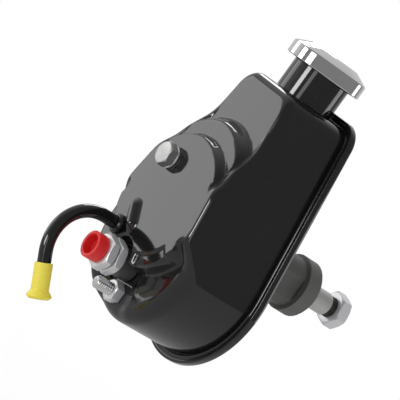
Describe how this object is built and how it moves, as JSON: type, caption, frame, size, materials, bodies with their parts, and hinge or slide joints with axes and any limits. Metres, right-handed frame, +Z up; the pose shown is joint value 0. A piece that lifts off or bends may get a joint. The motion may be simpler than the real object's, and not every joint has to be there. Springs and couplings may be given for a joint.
{
  "type": "power steering pump",
  "caption": "Vane type hydraulic steering pump in a deep-drawn black steel reservoir, with filler neck and cap, threaded shaft, pressure union and bent return tube.",
  "frame": {"origin": "centre of the drive shaft's threaded nose end face", "axes": "+Y along the shaft from its nose towards the ports, +Z up towards the filler cap"},
  "size_m": [0.126, 0.231, 0.2468],
  "materials": {
    "black_enamel": "gloss black enamel",
    "cast_iron": "machined and dark cast iron",
    "chrome": "bright chrome plate",
    "bright_zinc": "bright zinc plate",
    "ground_steel": "ground steel",
    "spring_steel": "dark spring steel",
    "bushing_bronze": "bearing bronze",
    "black_rubber": "matt black rubber",
    "red_plastic": "red polythene",
    "yellow_plastic": "yellow vinyl"
  },
  "bodies": {
    "pump": {"reservoir_can": "black_enamel", "reservoir_front_plate": "black_enamel", "filler_neck": "black_enamel", "return_tube": "black_enamel", "tube_collar": "black_enamel", "pump_housing": "cast_iron", "outlet_union": "bright_zinc", "rear_stud": "bright_zinc", "stud_nut": "bright_zinc", "bolt_washer": "bright_zinc", "rear_bolt": "bright_zinc", "thrust_plate": "ground_steel", "cam_ring": "ground_steel", "pressure_plate": "ground_steel", "dowel_pin_1": "ground_steel", "dowel_pin_2": "ground_steel", "end_plate": "ground_steel", "end_plate_spring": "spring_steel", "end_plate_retaining_ring": "spring_steel", "valve_spring": "spring_steel", "filings_magnet": "spring_steel", "shaft_bushing": "bushing_bronze", "shaft_seal": "black_rubber", "end_plate_seal": "black_rubber", "union_seal": "black_rubber", "housing_seal": "black_rubber"},
    "shaft": {"drive_shaft": "ground_steel", "shaft_nut": "bright_zinc", "rotor": "ground_steel", "vane_01": "ground_steel", "vane_02": "ground_steel", "vane_03": "ground_steel", "vane_04": "ground_steel", "vane_05": "ground_steel", "vane_06": "ground_steel", "vane_07": "ground_steel", "vane_08": "ground_steel", "vane_09": "ground_steel", "vane_10": "ground_steel", "rotor_snap_ring": "spring_steel"},
    "cap_seal": {"cap_gasket": "black_rubber"},
    "cap": {"filler_cap": "chrome", "cap_lock_plate": "bright_zinc", "cap_rivet": "bright_zinc", "dipstick": "bright_zinc"},
    "valve": {"valve_spool": "ground_steel", "relief_plug": "ground_steel", "relief_spring": "spring_steel"},
    "relief_ball": {"relief_ball": "ground_steel"},
    "port_plug": {"port_plug": "red_plastic"},
    "tube_cap": {"tube_cap": "yellow_plastic"}
  },
  "joints": [
    {"name": "shaft_spin", "type": "hinge", "parent": "pump", "child": "shaft", "pos_m": [0, 0, 0], "axis": [0, 1, 0], "continuous": true},
    {"name": "cap_lift", "type": "slide", "parent": "pump", "child": "cap_seal", "axis": [0, 0, 1], "range_m": [0, 0.07]},
    {"name": "cap_twist", "type": "hinge", "parent": "cap_seal", "child": "cap", "pos_m": [0, 0.134, 0.1306], "axis": [0, 0, -1], "range_deg": [0, 90]},
    {"name": "valve_slide", "type": "slide", "parent": "pump", "child": "valve", "axis": [0, -1, 0], "range_m": [0, 0.006], "stiffness_N_per_m": 4000, "springref_m": -0.006, "deforming": ["valve_spring"]},
    {"name": "relief_ball_lift", "type": "slide", "parent": "valve", "child": "relief_ball", "axis": [0, -1, 0], "range_m": [0, 0.0008], "stiffness_N_per_m": 3000, "springref_m": -0.001, "deforming": ["relief_spring"]},
    {"name": "port_plug_pull", "type": "slide", "parent": "pump", "child": "port_plug", "axis": [0, 1, 0], "range_m": [0, 0.012]},
    {"name": "tube_cap_pull", "type": "slide", "parent": "pump", "child": "tube_cap", "axis": [-0.3234, -0.3256, -0.8885], "range_m": [0, 0.02]}
  ]
}
